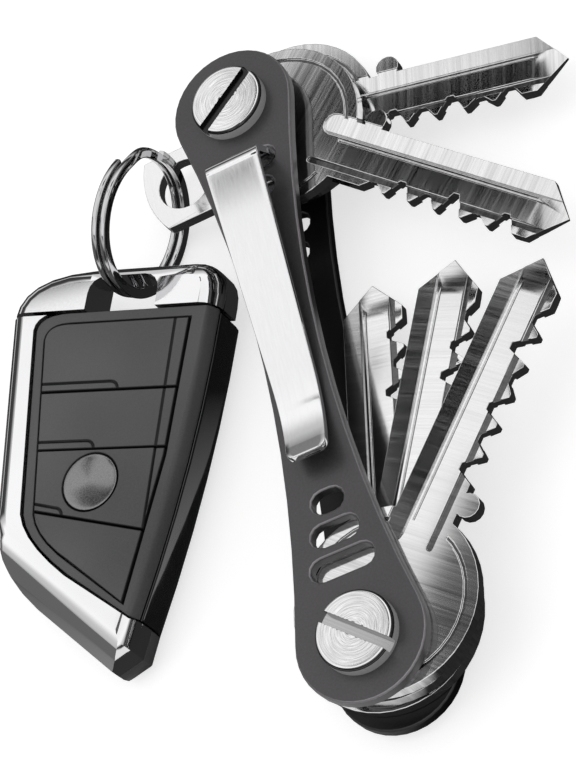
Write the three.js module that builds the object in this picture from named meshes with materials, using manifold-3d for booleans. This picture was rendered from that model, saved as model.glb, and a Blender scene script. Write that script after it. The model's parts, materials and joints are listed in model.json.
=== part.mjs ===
// Pocket key holder: two waisted plates on two posts, five folding keys, a pocket clip,
// a ring loop, a split ring and a key fob. Millimetres, +Z up, holder lying on its back.
import * as THREE from 'three';
import { mergeVertices } from 'three/addons/utils/BufferGeometryUtils.js';
import Module from 'manifold-3d';

const wasm = await Module();
wasm.setup();

// Plates
const END_RADIUS = 9;
const HALF_SPACING = 42.4;
const WAIST_HALF = 4.33;
const PLATE_THICK = 1.9;
const PLATE_CHAMFER = 0.25;
const SLOT_FIRST = 10.5;
const SLOT_PITCH = 4.6;
const SLOT_HEIGHT = 3.2;
const SLOT_HALF_LONG = 4.5;
const SLOT_HALF_STEP = 1.11;
const SLOTS_PER_END = 3;

// Stack of five layers between the plates
const KEY_THICK = 1.8;
const LAYER_GAP = 0.05;
const LAYERS = 5;

// Posts and screws
const BARREL_RADIUS = 3;
const BORE_RADIUS = 1.85;
const SHANK_RADIUS = 1.65;
const HEAD_RADIUS = 5.4;
const HEAD_HEIGHT = 2;
const HEAD_CHAMFER = 0.35;
const DRIVE_WIDTH = 1.6;
const DRIVE_DEPTH = 0.9;
const TOP_DRIVE_ANGLE = 37.9;
const BOTTOM_DRIVE_ANGLE = -42.5;
const RUN_CLEAR = 0.15;
const SPACER_RADIUS = 6.6;
const BARREL_SHORT = 0.4;
const SHANK_SHORT = 3;

// Keys
const BOW_RADIUS = 12.7;
const BOW_OFFSET = 5.7;
const RIM_WIDTH = 1.5;
const RIM_GROOVE = 0.5;
const GROOVE_DEPTH = 0.25;
const BLADE_HALF = 4.4;
const TIP_RISE = 4.4;
const LONG_KEY = 55;
const SHORT_KEY = 47;
const CUT_PITCH = 4.3;
const CUT_HALF = 1.9;
const CUT_FLAT = 0.45;
const CUT_START = 8.5;
const CUT_UNIT = 0.6;
const LAND_LEFT = 1.5;
const LAND_RIGHT = 2.4;
const SPINE_EDGE = 0.2;
const SPINE_DEPTH = 0.5;
const SPINE_WALL = 0.5;
const SPINE_OVER = 0.3;
const SPINE_START = 12.8;
const LINE_INSET = 0.4;
const LINE_WIDTH = 0.25;
const LINE_DEPTH = 0.15;
const LINE_START = 16.5;
const FLANK_WIDTH = 0.9;
const FLANK_DEPTH = 0.35;
const FLANK_START = 13.2;
const TIP_FACET = 5.4;
const TIP_FACET_DROP = 0.65;
const NUB_RADIUS = 1.7;
const NUB_AT = 20.4;
const NUB_OUT = 0.9;

// Pocket clip
const CLIP_THICK = 1;
const CLIP_WIDE = 8;
const CLIP_TIP_WIDE = 5.7;
const CLIP_RISE = 6;
const CLIP_LEAN = 2.3;
const CLIP_BEND = 1.4;
const CLIP_CONTACT_Y = -9.8;
const CLIP_TIP_Y = -17.2;
const CLIP_TIP_RISE = 2.4;
const CLIP_SEAT_GAP = 0.3;
const CLIP_CORNER = 1.2;
const CLIP_HEEL = 5.6;
const TONGUE_EYE = 6;

// Ring loop
const LOOP_ARC = 13.9;
const LOOP_EYE_LEFT = 12.9;
const LOOP_EYE_BELOW = 1.6;
const LOOP_EYE_RADIUS = 4;
const LOOP_RIM = 2.2;
const LOOP_HUB = 7;

// Split ring, two turns side by side
const RING_MEAN = 9.9;
const RING_RADIAL = 1.5;
const RING_AXIAL = 0.9;
const RING_PITCH = 1.4;
const RING_CROSS = 0.42;
const RING_STEPS = 24;
const RING_TURNS = 2;
const RING_CROSS_AT = 2.5;
const RING_BEARING = 237.2;
const RING_FLOOR_GAP = 0.1;
const EYE_LEFT = 14.3;
const EYE_BELOW = 2;
const SLOT_MID_Z = 4;

// Fob, local frame: long axis along +Y, face up
const FOB_TURN = -22.6;
const FOB_THICK = 10;
const FOB_TOP = 29.9;
const FOB_BOTTOM = -29.7;
const FOB_LEFT = -29.6;
const FOB_LEFT_LOW = -25.8;
const FOB_RIGHT = 3.9;
const FOB_RIGHT_LOW = 0.2;
const FOB_TIP_LEFT = -3.6;
const FOB_TIP_RIGHT = -0.3;
const FOB_TIP_CUT = 2.4;
const FOB_BEVEL = 2.6;
const FOB_BEVEL_DROP = 3;
const ROLL_WIDE = 5.6;
const ROLL_DROP = 3.6;
const FACE_LEFT = 5.1;
const FACE_TOP = 22.5;
const FACE_BOTTOM = -22.9;
const FACE_TIP = 1;
const CORNER_X = 17.2;
const CORNER_Y = 20.8;
const FACE_CORNER_X = 11.4;
const FACE_CORNER_Y = 17;
const FACE_DROP = 0.4;
const FIT_GAP = 0.3;
const CAP_UNDER = 1.5;
const CAP_BAR = 2;
const CAP_SLOT_LEFT = -17;
const CAP_SLOT_RIGHT = -5.6;
const SHELL_SPLIT = 2.4;
const PANEL_BORDER = 1.5;
const PANEL_RIGHT = 0.5;
const PANEL_RIGHT_LOW = -1.8;
const SPLIT_HIGH = 10.2;
const SPLIT_MID = 1.3;
const SPLIT_LOW_LEFT = -6.6;
const SPLIT_LOW_RIGHT = -11;
const CREASE_TOP = -2.1;
const CREASE_LOW = -1;
const LINE_CUT = 0.25;
const RIDGE_HEIGHT = 1.4;
const RIDGE_ENDS = [-9, -11, -14];
const BUTTON_THICK = 2;
const BUTTON_PROUD = 0.2;
const BUTTON_TRAVEL = 0.4;
const STEM_RADIUS = 1.2;
const BOARD_THICK = 1;
const BOARD_INSET = 4.2;
const CELL_RADIUS = 8;
const CELL_THICK = 2;
const DISC_RADIUS = 4.2;
const DISC_X = -10.6;
const DISC_Y = -3.6;
const DISC_DEPTH = 0.7;
const DISC_PROUD = 0.35;
const DISC_DOME = 0.3;
const SIDE_DEPTH = 1.4;
const SIDE_LOW = -0.6;
const SIDE_HIGH = 5.4;

// Resting angles, clockwise from +Y
const BOTTOM_FRONT_ANGLE = 40.3;
const BOTTOM_MIDDLE_ANGLE = 25;
const BOTTOM_REAR_ANGLE = 10.6;
const TOP_FRONT_ANGLE = 133.4;
const TOP_REAR_ANGLE = 103.6;

// Facets
const HEAD_FACETS = 36;
const BARREL_FACETS = 28;
const BORE_FACETS = 20;
const HOLE_FACETS = 24;
const BOW_FACETS = 44;
const RIM_FACETS = 36;
const STEM_FACETS = 14;
const EYE_FACETS = 32;
const LOOP_FACETS = 64;
const END_STEPS = 22;
const SIDE_STEPS = 12;
const SLOT_STEPS = 6;
const RUN_STEPS = 6;
const BEND_STEPS = 4;
const CORNER_STEPS = 4;
const CURVE_STEPS = 6;
const BEVEL_STEPS = 4;

// Derived heights
const GAP_HEIGHT = LAYERS * KEY_THICK + (LAYERS + 1) * LAYER_GAP;
const FRONT_UNDER = PLATE_THICK + GAP_HEIGHT;
const FRONT_FACE = FRONT_UNDER + PLATE_THICK;
const FLOOR = -HEAD_HEIGHT;
const layerBase = (layer) => FRONT_UNDER - layer * (KEY_THICK + LAYER_GAP);
const HOLE_RADIUS = BARREL_RADIUS + RUN_CLEAR;
const CUT_OVER = 1;
const WIDE = HALF_SPACING + LONG_KEY;
const MERGE = 1e-4;
const rad = THREE.MathUtils.degToRad;

const arc = (cx, cy, r, from, to, steps) => {
  const out = [];
  for (let i = 0; i <= steps; i += 1) {
    const a = from + ((to - from) * i) / steps;
    out.push(new THREE.Vector2(cx + r * Math.cos(a), cy + r * Math.sin(a)));
  }
  return out;
};
const points = (list) => list.map(([x, y]) => new THREE.Vector2(x, y));
const curve = (a, b, c, steps) => new THREE.QuadraticBezierCurve(
  new THREE.Vector2(...a), new THREE.Vector2(...b), new THREE.Vector2(...c)).getPoints(steps);
const shapeOf = (list, holes = []) => {
  const shape = new THREE.Shape(list);
  holes.forEach((hole) => shape.holes.push(new THREE.Path(hole)));
  return shape;
};
const circle = (cx, cy, r, steps) => arc(cx, cy, r, 0, 2 * Math.PI, steps).slice(0, -1);
const box2 = (x0, y0, x1, y1) => points([[x0, y0], [x1, y0], [x1, y1], [x0, y1]]);

// A flat outline raised from low to high, with an optional edge bevel on both faces
const raised = (shape, low, high, bevel = 0, drop = bevel, steps = 1) => {
  const geometry = new THREE.ExtrudeGeometry(shape, {
    depth: high - low - 2 * drop,
    bevelEnabled: bevel > 0,
    bevelSize: bevel,
    bevelOffset: -bevel,
    bevelThickness: drop,
    bevelSegments: steps,
    curveSegments: 1,
  });
  return geometry.translate(0, 0, low + drop);
};
const solid = (geometry) => {
  const bare = geometry.clone();
  bare.deleteAttribute('normal');
  bare.deleteAttribute('uv');
  const merged = mergeVertices(bare, MERGE);
  return new wasm.Manifold(new wasm.Mesh({
    numProp: 3,
    vertProperties: merged.attributes.position.array,
    triVerts: Uint32Array.from(merged.index.array),
  }));
};
const prism = (list, low, high, bevel, drop, steps) => solid(
  raised(shapeOf(list), low, high, bevel, drop, steps));
const disc = (x, y, r, low, high, steps, bevel = 0) => prism(circle(x, y, r, steps), low, high, bevel);
// An outline drawn on YZ and carried along X, and one drawn on XZ and carried along Y
const AXES = [0, 1, 2].map((axis) => new THREE.Vector3().setComponent(axis, 1));
const across = (list, reach) => solid(raised(shapeOf(list), -reach, reach).applyMatrix4(
  new THREE.Matrix4().makeBasis(AXES[1], AXES[2], AXES[0])));
const lengthways = (list, start, end) => solid(raised(shapeOf(list), -end, -start).applyMatrix4(
  new THREE.Matrix4().makeBasis(AXES[0], AXES[2], AXES[1].clone().negate())));
const geometryOf = (body) => {
  const mesh = body.getMesh();
  const geometry = new THREE.BufferGeometry();
  geometry.setAttribute('position', new THREE.BufferAttribute(new Float32Array(mesh.vertProperties), 3));
  geometry.setIndex(new THREE.BufferAttribute(new Uint32Array(mesh.triVerts), 1));
  const flat = geometry.toNonIndexed();
  flat.computeVertexNormals();
  return flat;
};

const finish = (color, metalness, roughness) => new THREE.MeshStandardMaterial(
  { color, metalness, roughness });
const anodised = finish(0x5c595c, 0.6, 0.45);
const turned = finish(0xd8d8d8, 1, 0.25);
const polished = finish(0xf0f0f0, 1, 0.08);
const keySteel = finish(0xc4c4c4, 1, 0.3);
const nylon = finish(0x202022, 0, 0.5);
const chrome = finish(0xe4e4e6, 1, 0.06);
const fobPlastic = finish(0x4a4a4c, 0, 0.5);
const fobGloss = finish(0x101012, 0, 0.15);
const boardGreen = finish(0x1d5a36, 0, 0.6);
const cellSteel = finish(0xb8b8bc, 1, 0.3);

const part = new THREE.Group();
part.name = 'pocket_key_holder';
const add = (name, geometry, material, parent = part) => {
  const mesh = new THREE.Mesh(geometry, material);
  mesh.name = name;
  parent.add(mesh);
  return mesh;
};

// Plates: end circles joined by concave arcs that run tangent into them
const SIDE_ARC = (WAIST_HALF ** 2 + HALF_SPACING ** 2 - END_RADIUS ** 2) / (2 * (END_RADIUS - WAIST_HALF));
const sideCentre = WAIST_HALF + SIDE_ARC;
const tangent = Math.atan2(HALF_SPACING, sideCentre);
const plateOutline = [
  ...arc(0, HALF_SPACING, END_RADIUS, -tangent, Math.PI + tangent, END_STEPS).slice(0, -1),
  ...arc(-sideCentre, 0, SIDE_ARC, tangent, -tangent, SIDE_STEPS).slice(0, -1),
  ...arc(0, -HALF_SPACING, END_RADIUS, Math.PI - tangent, 2 * Math.PI + tangent, END_STEPS).slice(0, -1),
  ...arc(sideCentre, 0, SIDE_ARC, Math.PI + tangent, Math.PI - tangent, SIDE_STEPS).slice(0, -1),
];
const stadium = (cy, halfLong, height) => {
  const r = height / 2;
  const reach = halfLong - r;
  return [
    ...arc(reach, cy, r, -Math.PI / 2, Math.PI / 2, SLOT_STEPS),
    ...arc(-reach, cy, r, Math.PI / 2, 1.5 * Math.PI, SLOT_STEPS),
  ];
};
const plateHoles = [];
[1, -1].forEach((end) => {
  plateHoles.push(circle(0, end * HALF_SPACING, HOLE_RADIUS, END_STEPS));
  for (let i = 0; i < SLOTS_PER_END; i += 1) {
    const along = HALF_SPACING - SLOT_FIRST - i * SLOT_PITCH;
    plateHoles.push(stadium(end * along, SLOT_HALF_LONG - i * SLOT_HALF_STEP, SLOT_HEIGHT));
  }
});
const plateShape = shapeOf(plateOutline, plateHoles);
add('back_plate', raised(plateShape, 0, PLATE_THICK, PLATE_CHAMFER), anodised);
add('front_plate', raised(plateShape, FRONT_UNDER, FRONT_FACE, PLATE_CHAMFER), anodised);

// Posts: a flanged barrel from the back, a slotted screw into it from the front
const fastener = (prefix, y, driveAngle) => {
  const barrelEnd = FRONT_FACE - BARREL_SHORT;
  const post = disc(0, 0, HEAD_RADIUS, FLOOR, 0, HEAD_FACETS, HEAD_CHAMFER)
    .add(disc(0, 0, BARREL_RADIUS, -HEAD_CHAMFER, barrelEnd, BARREL_FACETS))
    .subtract(disc(0, 0, BORE_RADIUS, PLATE_THICK, barrelEnd + CUT_OVER, BORE_FACETS));
  add(`${prefix}_post`, geometryOf(post), turned).position.set(0, y, 0);
  const headTop = FRONT_FACE + HEAD_HEIGHT;
  const drive = solid(raised(
    shapeOf(box2(-HEAD_RADIUS, -DRIVE_WIDTH / 2, HEAD_RADIUS, DRIVE_WIDTH / 2)),
    headTop - DRIVE_DEPTH, headTop + CUT_OVER).scale(1 + RUN_CLEAR, 1, 1));
  const screw = disc(0, 0, HEAD_RADIUS, FRONT_FACE, headTop, HEAD_FACETS, HEAD_CHAMFER)
    .add(disc(0, 0, SHANK_RADIUS, SHANK_SHORT, FRONT_FACE + HEAD_CHAMFER, BORE_FACETS))
    .subtract(drive);
  const mesh = add(`${prefix}_screw`, geometryOf(screw), turned);
  mesh.position.set(0, y, 0);
  mesh.rotation.z = rad(driveAngle);
};
fastener('top', HALF_SPACING, TOP_DRIVE_ANGLE);
fastener('bottom', -HALF_SPACING, BOTTOM_DRIVE_ANGLE);

const spacer = (name, y, layer) => {
  const base = layerBase(layer);
  const hole = circle(0, 0, HOLE_RADIUS, HOLE_FACETS);
  const shape = shapeOf(circle(0, 0, SPACER_RADIUS, BARREL_FACETS), [hole]);
  add(name, raised(shape, base, base + KEY_THICK), nylon).position.set(0, y, 0);
};
spacer('bottom_spacer_front', -HALF_SPACING, 2);
spacer('bottom_spacer_rear', -HALF_SPACING, 4);
spacer('top_spacer', HALF_SPACING, 3);

// Keys: round bow with a rim groove, a land down the blade between a spine groove and a flank groove
// that both run out on the bow, a bevelled tip, and cuts on the right of the blade
const keyTop = KEY_THICK + CUT_OVER;
const groove = (profile, left, right, start, end) => {
  const r = (right - left) / 2;
  const plan = [
    ...arc(left + r, start + r, r, Math.PI, 2 * Math.PI, RUN_STEPS),
    ...points([[right, end], [left, end]]),
  ];
  return lengthways(points(profile), start, end).intersect(prism(plan, 0, keyTop));
};
const milling = (length) => {
  const end = length + CUT_OVER;
  const spineOut = -BLADE_HALF - SPINE_OVER;
  const spineCut = groove([
    [spineOut, keyTop], [spineOut, KEY_THICK - SPINE_EDGE],
    [-LAND_LEFT - SPINE_WALL, KEY_THICK - SPINE_DEPTH], [-LAND_LEFT, KEY_THICK], [-LAND_LEFT, keyTop],
  ], spineOut, -LAND_LEFT, SPINE_START, end);
  const flankOut = LAND_RIGHT + FLANK_WIDTH;
  const flankCut = groove([
    [LAND_RIGHT, keyTop], [LAND_RIGHT, KEY_THICK - FLANK_DEPTH],
    [flankOut, KEY_THICK - FLANK_DEPTH], [flankOut, keyTop],
  ], LAND_RIGHT, flankOut, FLANK_START, end);
  const lineLeft = LINE_INSET - LAND_LEFT;
  const lineRight = lineLeft + LINE_WIDTH;
  const lineCut = prism(box2(lineLeft, LINE_START, lineRight, end), KEY_THICK - LINE_DEPTH, keyTop);
  const facetLow = KEY_THICK - (TIP_FACET_DROP * (TIP_FACET + CUT_OVER)) / TIP_FACET;
  const facet = across(points([
    [length - TIP_FACET, KEY_THICK], [end, facetLow], [end, keyTop], [length - TIP_FACET, keyTop],
  ]), BLADE_HALF + CUT_OVER);
  return spineCut.add(flankCut).add(lineCut).add(facet);
};
const keyBody = (length, cuts, nubSide) => {
  const shoulder = length - TIP_RISE;
  const edge = [[BLADE_HALF, BOW_OFFSET]];
  const teeth = cuts.map((step, i) => ({ y: length - CUT_START - i * CUT_PITCH, d: step * CUT_UNIT }));
  teeth.reverse().forEach(({ y, d }) => {
    edge.push([BLADE_HALF, y - CUT_HALF]);
    edge.push([BLADE_HALF - d, y - CUT_FLAT]);
    edge.push([BLADE_HALF - d, y + CUT_FLAT]);
    edge.push([BLADE_HALF, y + CUT_HALF]);
  });
  edge.push([BLADE_HALF, shoulder], [0, length], [-BLADE_HALF, shoulder], [-BLADE_HALF, BOW_OFFSET]);
  const rimOut = BOW_RADIUS - RIM_WIDTH;
  const rim = solid(raised(shapeOf(
    circle(0, BOW_OFFSET, rimOut, RIM_FACETS), [circle(0, BOW_OFFSET, rimOut - RIM_GROOVE, RIM_FACETS)]),
  KEY_THICK - GROOVE_DEPTH, keyTop))
    .subtract(prism(box2(-BLADE_HALF, BOW_OFFSET, BLADE_HALF, length), 0, keyTop + CUT_OVER));
  const upper = milling(length).add(rim);
  const lower = upper.translate(0, 0, -KEY_THICK / 2).mirror([0, 0, 1]).translate(0, 0, KEY_THICK / 2);
  return geometryOf(disc(0, BOW_OFFSET, BOW_RADIUS, 0, KEY_THICK, BOW_FACETS)
    .add(prism(points(edge), 0, KEY_THICK))
    .add(disc(nubSide * (BLADE_HALF + NUB_OUT), NUB_AT, NUB_RADIUS, 0, KEY_THICK, STEM_FACETS))
    .subtract(disc(0, 0, HOLE_RADIUS, -CUT_OVER, keyTop, HOLE_FACETS))
    .subtract(upper)
    .subtract(lower));
};
const key = (name, y, layer, angle, length, cuts, nubSide) => {
  const mesh = add(name, keyBody(length, cuts, nubSide), keySteel);
  mesh.position.set(0, y, layerBase(layer));
  mesh.rotation.z = rad(-angle);
};
key('key_bottom_front', -HALF_SPACING, 1, BOTTOM_FRONT_ANGLE, LONG_KEY, [3, 5, 2, 4, 3, 4], 1);
key('key_top_front', HALF_SPACING, 2, TOP_FRONT_ANGLE, LONG_KEY, [4, 2, 5, 3, 4, 2], -1);
key('key_bottom_middle', -HALF_SPACING, 3, BOTTOM_MIDDLE_ANGLE, LONG_KEY, [2, 4, 5, 3, 4, 3], 1);
key('key_top_rear', HALF_SPACING, 4, TOP_REAR_ANGLE, SHORT_KEY, [3, 2, 4, 3, 4], -1);
key('key_bottom_rear', -HALF_SPACING, 5, BOTTOM_REAR_ANGLE, LONG_KEY, [4, 3, 5, 2, 4, 3], 1);

// Pocket clip: one bent strip, its tongue held on the top post, rising through the longest slot
const clipRootY = HALF_SPACING - SLOT_FIRST;
const tongueMid = FRONT_UNDER - LAYER_GAP - CLIP_THICK / 2;
const contactZ = FRONT_FACE + CLIP_SEAT_GAP + CLIP_THICK / 2;
const crestZ = FRONT_FACE + CLIP_RISE - CLIP_THICK / 2;
const spine = points([
  [HALF_SPACING + TONGUE_EYE, tongueMid],
  [clipRootY, tongueMid],
  [clipRootY, FRONT_FACE + CLIP_THICK],
  [clipRootY - CLIP_LEAN, crestZ],
  [CLIP_CONTACT_Y, contactZ],
  [CLIP_TIP_Y, contactZ + CLIP_TIP_RISE],
]);
// Each corner of the strip's line becomes a short bend
const bends = [0, CLIP_THICK, CLIP_BEND, CLIP_BEND, CLIP_HEEL, 0];
const line = [spine[0]];
for (let i = 1; i < spine.length - 1; i += 1) {
  const into = spine[i].clone().sub(spine[i - 1]).normalize();
  const onward = spine[i + 1].clone().sub(spine[i]).normalize();
  const start = spine[i].clone().addScaledVector(into, -bends[i]);
  const end = spine[i].clone().addScaledVector(onward, bends[i]);
  line.push(...curve(start.toArray(), spine[i].toArray(), end.toArray(), BEND_STEPS));
}
line.push(spine[spine.length - 1]);
const sideLine = (side) => line.map((p, i) => {
  const last = line.length - 1;
  const into = line[Math.max(i, 1)].clone().sub(line[Math.max(i, 1) - 1]).normalize();
  const onward = line[Math.min(i, last - 1) + 1].clone().sub(line[Math.min(i, last - 1)]).normalize();
  const along = into.clone().add(onward).normalize();
  const off = (side * CLIP_THICK) / (2 * along.dot(onward));
  return new THREE.Vector2(p.x - along.y * off, p.y + along.x * off);
});
const strip = across([...sideLine(1), ...sideLine(-1).reverse()], CLIP_WIDE);
const halfWide = CLIP_WIDE / 2;
const tipCorner = CLIP_TIP_WIDE / 2 - CLIP_CORNER;
const tipRound = CLIP_TIP_Y + CLIP_CORNER;
const clipPlan = [
  ...arc(0, HALF_SPACING, TONGUE_EYE, 0, Math.PI, BORE_FACETS),
  new THREE.Vector2(-halfWide, HALF_SPACING - TONGUE_EYE),
  new THREE.Vector2(-halfWide, clipRootY - CLIP_LEAN),
  ...arc(-tipCorner, tipRound, CLIP_CORNER, Math.PI, 1.5 * Math.PI, CORNER_STEPS),
  ...arc(tipCorner, tipRound, CLIP_CORNER, -Math.PI / 2, 0, CORNER_STEPS),
  new THREE.Vector2(halfWide, clipRootY - CLIP_LEAN),
  new THREE.Vector2(halfWide, HALF_SPACING - TONGUE_EYE),
];
const clip = strip
  .intersect(prism(clipPlan, FLOOR, WIDE))
  .subtract(disc(0, HALF_SPACING, HOLE_RADIUS + RUN_CLEAR, FLOOR, FRONT_FACE, HOLE_FACETS));
add('pocket_clip', geometryOf(clip), polished);

// Ring loop: a D-shaped eye beside the plates on a hub round the top post, in the deepest layer
const loopBase = layerBase(LAYERS);
const loopTop = loopBase + KEY_THICK;
const loopReach = LOOP_EYE_RADIUS + LOOP_RIM;
const loop = disc(LOOP_ARC - LOOP_EYE_LEFT - loopReach, 0, LOOP_ARC, loopBase, loopTop, LOOP_FACETS)
  .intersect(prism(
    box2(-WIDE, -LOOP_EYE_BELOW - loopReach, 0, loopReach - LOOP_EYE_BELOW), loopBase, loopTop))
  .add(disc(0, 0, LOOP_HUB, loopBase, loopTop, BOW_FACETS))
  .subtract(disc(-LOOP_EYE_LEFT, -LOOP_EYE_BELOW, LOOP_EYE_RADIUS, FLOOR, FRONT_FACE, EYE_FACETS))
  .subtract(disc(0, 0, HOLE_RADIUS, FLOOR, FRONT_FACE, HOLE_FACETS));
add('ring_loop', geometryOf(loop), turned).position.set(0, HALF_SPACING, 0);

// Split ring: one unbroken strand, two turns side by side with a short crossing, standing on edge
class CoilCurve extends THREE.Curve {
  getPoint(t, target = new THREE.Vector3()) {
    const full = 2 * Math.PI;
    const angle = RING_CROSS + t * (RING_TURNS * full - 2 * RING_CROSS);
    const step = THREE.MathUtils.smoothstep(angle, full - RING_CROSS, full + RING_CROSS);
    const turn = angle + RING_CROSS_AT;
    return target.set(
      RING_MEAN * Math.cos(turn), RING_MEAN * Math.sin(turn), (step - 1 / 2) * RING_PITCH);
  }
}
const coil = new CoilCurve();
const strandHalf = RING_RADIAL / 2;
const axialHalf = RING_AXIAL / 2;
const strand = points([
  [axialHalf, strandHalf / 2], [axialHalf / 2, strandHalf], [-axialHalf / 2, strandHalf],
  [-axialHalf, strandHalf / 2], [-axialHalf, -strandHalf / 2], [-axialHalf / 2, -strandHalf],
  [axialHalf / 2, -strandHalf], [axialHalf, -strandHalf / 2],
]);
const coilGeometry = new THREE.ExtrudeGeometry(shapeOf(strand), {
  steps: RING_STEPS * RING_TURNS, extrudePath: coil, bevelEnabled: false });
const samples = coil.getPoints(RING_STEPS * RING_TURNS * 4);
let leastGap = Infinity;
samples.forEach((a, i) => {
  for (let j = i + RING_STEPS * 2; j < samples.length; j += 1) {
    const b = samples[j];
    const axial = Math.max(Math.abs(a.z - b.z) - RING_AXIAL, 0);
    const radial = Math.max(Math.hypot(a.x - b.x, a.y - b.y) - RING_RADIAL, 0);
    leastGap = Math.min(leastGap, Math.hypot(axial, radial));
  }
});
console.log(`split ring least gap to itself ${leastGap.toFixed(2)} mm`);
const bearing = rad(RING_BEARING);
const ringAlong = new THREE.Vector3(Math.cos(bearing), Math.sin(bearing), 0);
const ringOuter = RING_MEAN + RING_RADIAL / 2;
const ringZ = FLOOR + RING_FLOOR_GAP + ringOuter;
const eyePoint = new THREE.Vector3(-EYE_LEFT, HALF_SPACING - EYE_BELOW, loopBase + KEY_THICK / 2);
const chord = (z) => Math.sqrt(RING_MEAN ** 2 - (ringZ - z) ** 2);
const ringCentre = eyePoint.clone().addScaledVector(ringAlong, chord(eyePoint.z)).setZ(ringZ);
const slotPoint = ringCentre.clone().addScaledVector(ringAlong, chord(SLOT_MID_Z)).setZ(SLOT_MID_Z);
const upAxis = AXES[2];
const ring = add('split_ring', coilGeometry, chrome);
ring.applyMatrix4(new THREE.Matrix4().makeBasis(ringAlong, upAxis, ringAlong.clone().cross(upAxis)));
ring.position.copy(ringCentre);

// Fob: bevelled body cut into shells, chrome frame, cap with the ring slot, and buttons
const fobFace = FLOOR + FOB_THICK;
const fobOutline = [
  ...curve([FOB_RIGHT_LOW, FACE_BOTTOM], [FOB_RIGHT + FIT_GAP, 0], [FOB_RIGHT, FACE_TOP], CURVE_STEPS),
  ...curve([FOB_RIGHT, FOB_TOP - 2 * FOB_BEVEL], [FOB_RIGHT, FOB_TOP], [FOB_RIGHT - 2 * FOB_BEVEL, FOB_TOP],
    CURVE_STEPS),
  ...curve([CAP_SLOT_LEFT, FOB_TOP], [FOB_LEFT, FOB_TOP - FIT_GAP], [FOB_LEFT, FACE_TOP - FIT_GAP],
    CURVE_STEPS),
  ...curve([FOB_LEFT_LOW, SPLIT_LOW_LEFT], [FOB_LEFT_LOW + FIT_GAP, FOB_BOTTOM / 2],
    [-CORNER_X, -CORNER_Y], CURVE_STEPS),
  ...points([[FOB_TIP_LEFT, FOB_BOTTOM], [FOB_TIP_RIGHT, FOB_BOTTOM + FOB_TIP_CUT]]),
];
// The slanted lower edge rolls off broadly
const rollEdge = new THREE.Vector2(-CORNER_X - FOB_TIP_LEFT, -CORNER_Y - FOB_BOTTOM);
const rollTurn = THREE.MathUtils.radToDeg(rollEdge.angle()) - 90;
const roll = lengthways([
  ...curve([0, fobFace - ROLL_DROP], [ROLL_WIDE / 2, fobFace], [ROLL_WIDE, fobFace], CURVE_STEPS),
  ...points([[ROLL_WIDE, fobFace + CUT_OVER], [-ROLL_WIDE, fobFace + CUT_OVER],
    [-ROLL_WIDE, fobFace - ROLL_DROP]]),
], -ROLL_WIDE, 2 * rollEdge.length()).rotate([0, 0, rollTurn]).translate(FOB_TIP_LEFT, FOB_BOTTOM, 0);
const fobBlock = prism(fobOutline, FLOOR, fobFace, FOB_BEVEL, FOB_BEVEL_DROP, BEVEL_STEPS).subtract(roll);
const far = WIDE;
// Face opening, grown by a clearance: inside the chrome frame, open to the right
const facePlan = (grow) => [
  ...points([[far, FACE_BOTTOM - grow], [far, FACE_TOP + grow]]),
  ...curve([FOB_LEFT + FACE_LEFT + 2 * FOB_BEVEL, FACE_TOP + grow],
    [FOB_LEFT + FACE_LEFT - grow, FACE_TOP + grow],
    [FOB_LEFT + FACE_LEFT - grow, FACE_TOP - FOB_BEVEL], CURVE_STEPS),
  ...curve([FOB_LEFT_LOW + FACE_LEFT - grow, SPLIT_LOW_LEFT],
    [FOB_LEFT_LOW + FACE_LEFT - grow, SPLIT_LOW_RIGHT - FIT_GAP],
    [-FACE_CORNER_X - grow, -FACE_CORNER_Y - grow], CURVE_STEPS),
  new THREE.Vector2(FOB_RIGHT_LOW - FACE_TIP, FACE_BOTTOM - grow),
];
const belowCap = (y, low, high) => prism(box2(-far, -far, far, y), low, high);
// The right wall's line, moved inward; the chrome closes the tip below it
const sidePlan = (inward, grow) => [
  ...curve([FOB_RIGHT_LOW - inward, FACE_BOTTOM - grow], [FOB_RIGHT + FIT_GAP - inward, 0],
    [FOB_RIGHT - inward, FACE_TOP], CURVE_STEPS),
  ...points([[far, FACE_TOP], [far, FACE_BOTTOM - grow]]),
];
const sideEnd = FACE_TOP - FIT_GAP;
const sideZone = (inward, grow) => prism(sidePlan(inward, grow), SIDE_LOW - grow, SIDE_HIGH + grow)
  .intersect(belowCap(sideEnd + grow, FLOOR, fobFace));
const sideCut = sideZone(SIDE_DEPTH + FIT_GAP, FIT_GAP);
const faceTop = fobFace - FACE_DROP;
const pocketFloor = faceTop + BUTTON_PROUD - BUTTON_THICK - BUTTON_TRAVEL - FIT_GAP;
const boardTop = pocketFloor - BOARD_THICK - FIT_GAP;
const panelPlan = (inset) => [
  ...points([[PANEL_RIGHT_LOW - inset, FACE_BOTTOM + PANEL_BORDER + inset],
    [PANEL_RIGHT - inset, 0], [PANEL_RIGHT - inset, FACE_TOP - PANEL_BORDER - inset]]),
  ...curve([FOB_LEFT + FACE_LEFT + 2 * FOB_BEVEL, FACE_TOP - PANEL_BORDER - inset],
    [FOB_LEFT + FACE_LEFT + PANEL_BORDER + inset, FACE_TOP - PANEL_BORDER - inset],
    [FOB_LEFT + FACE_LEFT + PANEL_BORDER + inset, FACE_TOP - PANEL_BORDER - FOB_BEVEL], CURVE_STEPS),
  ...curve([FOB_LEFT_LOW + FACE_LEFT + PANEL_BORDER + inset, SPLIT_LOW_LEFT],
    [FOB_LEFT_LOW + FACE_LEFT + PANEL_BORDER + inset, SPLIT_LOW_RIGHT],
    [-FACE_CORNER_X, PANEL_BORDER + inset - FACE_CORNER_Y], CURVE_STEPS),
];
const fob = new THREE.Group();
fob.name = 'fob';
part.add(fob);

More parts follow.
